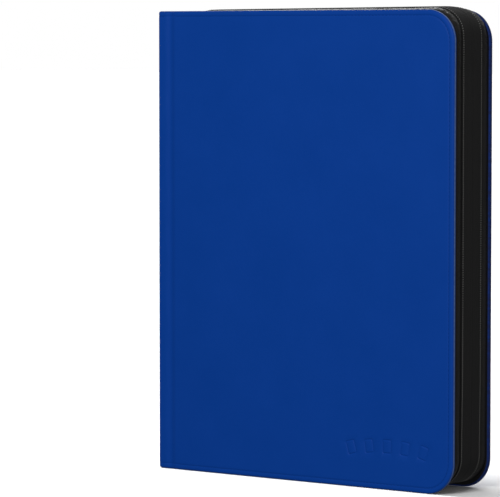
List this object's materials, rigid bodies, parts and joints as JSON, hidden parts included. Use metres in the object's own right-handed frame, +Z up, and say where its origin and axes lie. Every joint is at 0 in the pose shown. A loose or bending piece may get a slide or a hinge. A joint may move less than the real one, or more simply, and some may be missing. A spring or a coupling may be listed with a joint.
{
  "type": "trading card binder",
  "caption": "Zipped padded card binder: hinged covers, wrapped spine, gusset with coil zipper, and sewn-in leaves of side-loading pockets.",
  "frame": {"origin": "middle of the bottom of the closed binder, standing on its lower edge", "axes": "+Z up along the spine, +X from the spine to the zipped fore-edge, -Y out of the front cover"},
  "size_m": [0.306, 0.059, 0.398],
  "materials": {
    "cover_leather": "fine-grained matt leather-look surface",
    "gusset_leather": "semi-gloss leather-look surface, creased at the corners",
    "cover_thread": "twisted polyester thread",
    "black_thread": "twisted polyester thread",
    "lining": "ribbed woven-look lining",
    "greyboard": "plain greyboard",
    "foam": "closed-cell foam sheet",
    "page_film": "black pocket sheet under clear film, welded",
    "binding": "ribbed plastic strip",
    "zipper_tape": "woven herringbone tape",
    "zipper_coil": "nylon coil",
    "slider_metal": "black lacquered zinc",
    "grip_rubber": "soft moulded grip"
  },
  "bodies": {
    "spine": {"spine_skin": "cover_leather", "spine_board": "greyboard", "front_shoulder_board": "greyboard", "back_shoulder_board": "greyboard", "spine_lining": "lining", "binding_strip": "binding", "page_stubs": "page_film", "stub_spacers": "binding", "binding_thread": "black_thread", "top_end_panel": "gusset_leather", "bottom_end_panel": "gusset_leather", "zipper_top_tab": "gusset_leather", "zipper_bottom_tab": "gusset_leather", "bottom_stop": "slider_metal"},
    "front_cover": {"front_skin": "cover_leather", "front_foam": "foam", "front_board": "greyboard", "front_lining": "lining", "front_gusset": "gusset_leather", "front_zipper_tape": "zipper_tape", "front_zipper_coil": "zipper_coil", "front_top_stop": "slider_metal", "front_edge_thread": "cover_thread", "front_seam_thread": "black_thread"},
    "back_cover": {"back_skin": "cover_leather", "back_foam": "foam", "back_board": "greyboard", "back_lining": "lining", "back_gusset": "gusset_leather", "back_zipper_tape": "zipper_tape", "back_zipper_coil": "zipper_coil", "back_top_stop": "slider_metal", "back_edge_thread": "cover_thread", "back_seam_thread": "black_thread"},
    "slider": {"slider_body": "slider_metal"},
    "pull": {"slider_pull": "slider_metal", "pull_grip": "grip_rubber"},
    "leaf_01": {"page_01": "page_film"},
    "leaf_02": {"page_02": "page_film"},
    "leaf_03": {"page_03": "page_film"},
    "leaf_04": {"page_04": "page_film"},
    "leaf_05": {"page_05": "page_film"},
    "leaf_06": {"page_06": "page_film"},
    "leaf_07": {"page_07": "page_film"},
    "leaf_08": {"page_08": "page_film"},
    "leaf_09": {"page_09": "page_film"},
    "leaf_10": {"page_10": "page_film"},
    "leaf_11": {"page_11": "page_film"},
    "leaf_12": {"page_12": "page_film"},
    "leaf_13": {"page_13": "page_film"},
    "leaf_14": {"page_14": "page_film"},
    "leaf_15": {"page_15": "page_film"},
    "leaf_16": {"page_16": "page_film"},
    "leaf_17": {"page_17": "page_film"},
    "leaf_18": {"page_18": "page_film"},
    "leaf_19": {"page_19": "page_film"},
    "leaf_20": {"page_20": "page_film"}
  },
  "joints": [
    {"name": "front_cover_hinge", "type": "hinge", "parent": "spine", "child": "front_cover", "pos_m": [-0.1395, -0.0267, 0.199], "axis": [0, 0, -1], "range_deg": [0, 95]},
    {"name": "back_cover_hinge", "type": "hinge", "parent": "spine", "child": "back_cover", "pos_m": [-0.1395, 0.0267, 0.199], "axis": [0, 0, 1], "range_deg": [0, 95]},
    {"name": "slider_travel", "type": "slide", "parent": "spine", "child": "slider", "axis": [-1, 0, 0], "range_m": [-0.235, 0]},
    {"name": "pull_swing", "type": "hinge", "parent": "slider", "child": "pull", "pos_m": [-0.132, 0, 0.0029], "axis": [0, 1, 0], "range_deg": [0, 150]},
    {"name": "leaf_01_turn", "type": "hinge", "parent": "spine", "child": "leaf_01", "pos_m": [-0.135, -0.0209, 0.199], "axis": [0, 0, -1], "range_deg": [0, 92]},
    {"name": "leaf_02_turn", "type": "hinge", "parent": "spine", "child": "leaf_02", "pos_m": [-0.1342, -0.0187, 0.199], "axis": [0, 0, -1], "range_deg": [0, 87]},
    {"name": "leaf_03_turn", "type": "hinge", "parent": "spine", "child": "leaf_03", "pos_m": [-0.1334, -0.0165, 0.199], "axis": [0, 0, -1], "range_deg": [0, 82]},
    {"name": "leaf_04_turn", "type": "hinge", "parent": "spine", "child": "leaf_04", "pos_m": [-0.1326, -0.0143, 0.199], "axis": [0, 0, -1], "range_deg": [0, 77]},
    {"name": "leaf_05_turn", "type": "hinge", "parent": "spine", "child": "leaf_05", "pos_m": [-0.1318, -0.0121, 0.199], "axis": [0, 0, -1], "range_deg": [0, 71]},
    {"name": "leaf_06_turn", "type": "hinge", "parent": "spine", "child": "leaf_06", "pos_m": [-0.131, -0.0099, 0.199], "axis": [0, 0, -1], "range_deg": [0, 66]},
    {"name": "leaf_07_turn", "type": "hinge", "parent": "spine", "child": "leaf_07", "pos_m": [-0.1302, -0.0077, 0.199], "axis": [0, 0, -1], "range_deg": [0, 61]},
    {"name": "leaf_08_turn", "type": "hinge", "parent": "spine", "child": "leaf_08", "pos_m": [-0.1294, -0.0055, 0.199], "axis": [0, 0, -1], "range_deg": [0, 56]},
    {"name": "leaf_09_turn", "type": "hinge", "parent": "spine", "child": "leaf_09", "pos_m": [-0.1286, -0.0033, 0.199], "axis": [0, 0, -1], "range_deg": [0, 50]},
    {"name": "leaf_10_turn", "type": "hinge", "parent": "spine", "child": "leaf_10", "pos_m": [-0.1278, -0.0011, 0.199], "axis": [0, 0, -1], "range_deg": [0, 45]},
    {"name": "leaf_11_turn", "type": "hinge", "parent": "spine", "child": "leaf_11", "pos_m": [-0.1278, 0.0011, 0.199], "axis": [0, 0, 1], "range_deg": [0, 45]},
    {"name": "leaf_12_turn", "type": "hinge", "parent": "spine", "child": "leaf_12", "pos_m": [-0.1286, 0.0033, 0.199], "axis": [0, 0, 1], "range_deg": [0, 50]},
    {"name": "leaf_13_turn", "type": "hinge", "parent": "spine", "child": "leaf_13", "pos_m": [-0.1294, 0.0055, 0.199], "axis": [0, 0, 1], "range_deg": [0, 56]},
    {"name": "leaf_14_turn", "type": "hinge", "parent": "spine", "child": "leaf_14", "pos_m": [-0.1302, 0.0077, 0.199], "axis": [0, 0, 1], "range_deg": [0, 61]},
    {"name": "leaf_15_turn", "type": "hinge", "parent": "spine", "child": "leaf_15", "pos_m": [-0.131, 0.0099, 0.199], "axis": [0, 0, 1], "range_deg": [0, 66]},
    {"name": "leaf_16_turn", "type": "hinge", "parent": "spine", "child": "leaf_16", "pos_m": [-0.1318, 0.0121, 0.199], "axis": [0, 0, 1], "range_deg": [0, 71]},
    {"name": "leaf_17_turn", "type": "hinge", "parent": "spine", "child": "leaf_17", "pos_m": [-0.1326, 0.0143, 0.199], "axis": [0, 0, 1], "range_deg": [0, 77]},
    {"name": "leaf_18_turn", "type": "hinge", "parent": "spine", "child": "leaf_18", "pos_m": [-0.1334, 0.0165, 0.199], "axis": [0, 0, 1], "range_deg": [0, 82]},
    {"name": "leaf_19_turn", "type": "hinge", "parent": "spine", "child": "leaf_19", "pos_m": [-0.1342, 0.0187, 0.199], "axis": [0, 0, 1], "range_deg": [0, 87]},
    {"name": "leaf_20_turn", "type": "hinge", "parent": "spine", "child": "leaf_20", "pos_m": [-0.135, 0.0209, 0.199], "axis": [0, 0, 1], "range_deg": [0, 92]}
  ],
  "couplings": [
    {"joint": "leaf_01_turn", "follows": "front_cover_hinge", "ratio": 0.96},
    {"joint": "leaf_02_turn", "follows": "front_cover_hinge", "ratio": 0.905},
    {"joint": "leaf_03_turn", "follows": "front_cover_hinge", "ratio": 0.85},
    {"joint": "leaf_04_turn", "follows": "front_cover_hinge", "ratio": 0.795},
    {"joint": "leaf_05_turn", "follows": "front_cover_hinge", "ratio": 0.74},
    {"joint": "leaf_06_turn", "follows": "front_cover_hinge", "ratio": 0.685},
    {"joint": "leaf_07_turn", "follows": "front_cover_hinge", "ratio": 0.63},
    {"joint": "leaf_08_turn", "follows": "front_cover_hinge", "ratio": 0.575},
    {"joint": "leaf_09_turn", "follows": "front_cover_hinge", "ratio": 0.52},
    {"joint": "leaf_10_turn", "follows": "front_cover_hinge", "ratio": 0.465},
    {"joint": "leaf_11_turn", "follows": "back_cover_hinge", "ratio": 0.465},
    {"joint": "leaf_12_turn", "follows": "back_cover_hinge", "ratio": 0.52},
    {"joint": "leaf_13_turn", "follows": "back_cover_hinge", "ratio": 0.575},
    {"joint": "leaf_14_turn", "follows": "back_cover_hinge", "ratio": 0.63},
    {"joint": "leaf_15_turn", "follows": "back_cover_hinge", "ratio": 0.685},
    {"joint": "leaf_16_turn", "follows": "back_cover_hinge", "ratio": 0.74},
    {"joint": "leaf_17_turn", "follows": "back_cover_hinge", "ratio": 0.795},
    {"joint": "leaf_18_turn", "follows": "back_cover_hinge", "ratio": 0.85},
    {"joint": "leaf_19_turn", "follows": "back_cover_hinge", "ratio": 0.905},
    {"joint": "leaf_20_turn", "follows": "back_cover_hinge", "ratio": 0.96}
  ]
}
